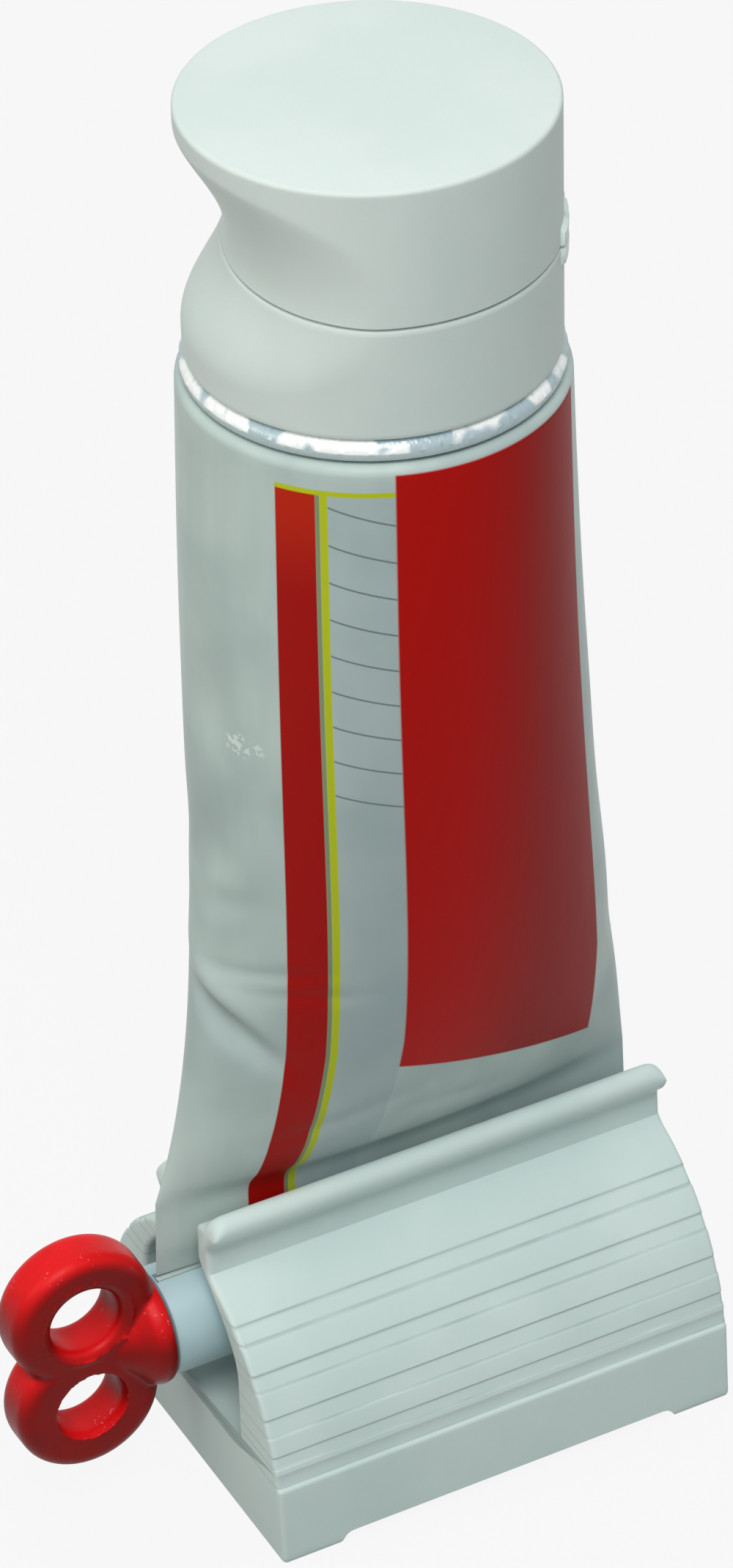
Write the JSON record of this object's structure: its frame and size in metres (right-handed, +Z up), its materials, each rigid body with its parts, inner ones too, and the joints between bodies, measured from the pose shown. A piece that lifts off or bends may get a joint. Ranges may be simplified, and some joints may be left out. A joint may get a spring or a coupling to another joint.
{
  "type": "toothpaste squeezer",
  "caption": "Moulded stand whose lips and slotted winding key grip and empty a flip-top paste tube.",
  "frame": {"origin": "middle of the whole footprint, handle included, on the surface that the stand rests on", "axes": "+Z up along the tube, +X along the winding shaft away from its handle, +Y away from the printed side"},
  "size_m": [0.0946, 0.051, 0.1998],
  "materials": {
    "stand": "satin moulded polypropylene, pale grey-white",
    "wing": "glossy moulded red plastic",
    "shaft": "satin moulded plastic, pale blue-grey",
    "sleeve": "pearly laminate tube with printed colour fields",
    "foil": "bright foil laminate over the shoulder",
    "cap": "satin moulded white cap"
  },
  "bodies": {
    "stand": {"stand_body": "stand", "tube_sleeve": "sleeve", "tube_shoulder": "foil", "cap_base": "cap"},
    "tail": {"tube_tail_end": "sleeve"},
    "key": {"key_wing": "wing", "key_shaft": "shaft"},
    "lid": {"flip_lid": "cap"}
  },
  "joints": [
    {"name": "key_turn", "type": "hinge", "parent": "stand", "child": "tail", "pos_m": [0, 0, 0.0253], "axis": [1, 0, 0], "continuous": true},
    {"name": "key_pull", "type": "slide", "parent": "tail", "child": "key", "axis": [-1, 0, 0], "range_m": [0, 0.075]},
    {"name": "lid_flip", "type": "hinge", "parent": "stand", "child": "lid", "pos_m": [0.03168, -0.01002, 0.1812], "axis": [0.4226, 0.9063, 0], "range_deg": [0, 130]}
  ]
}
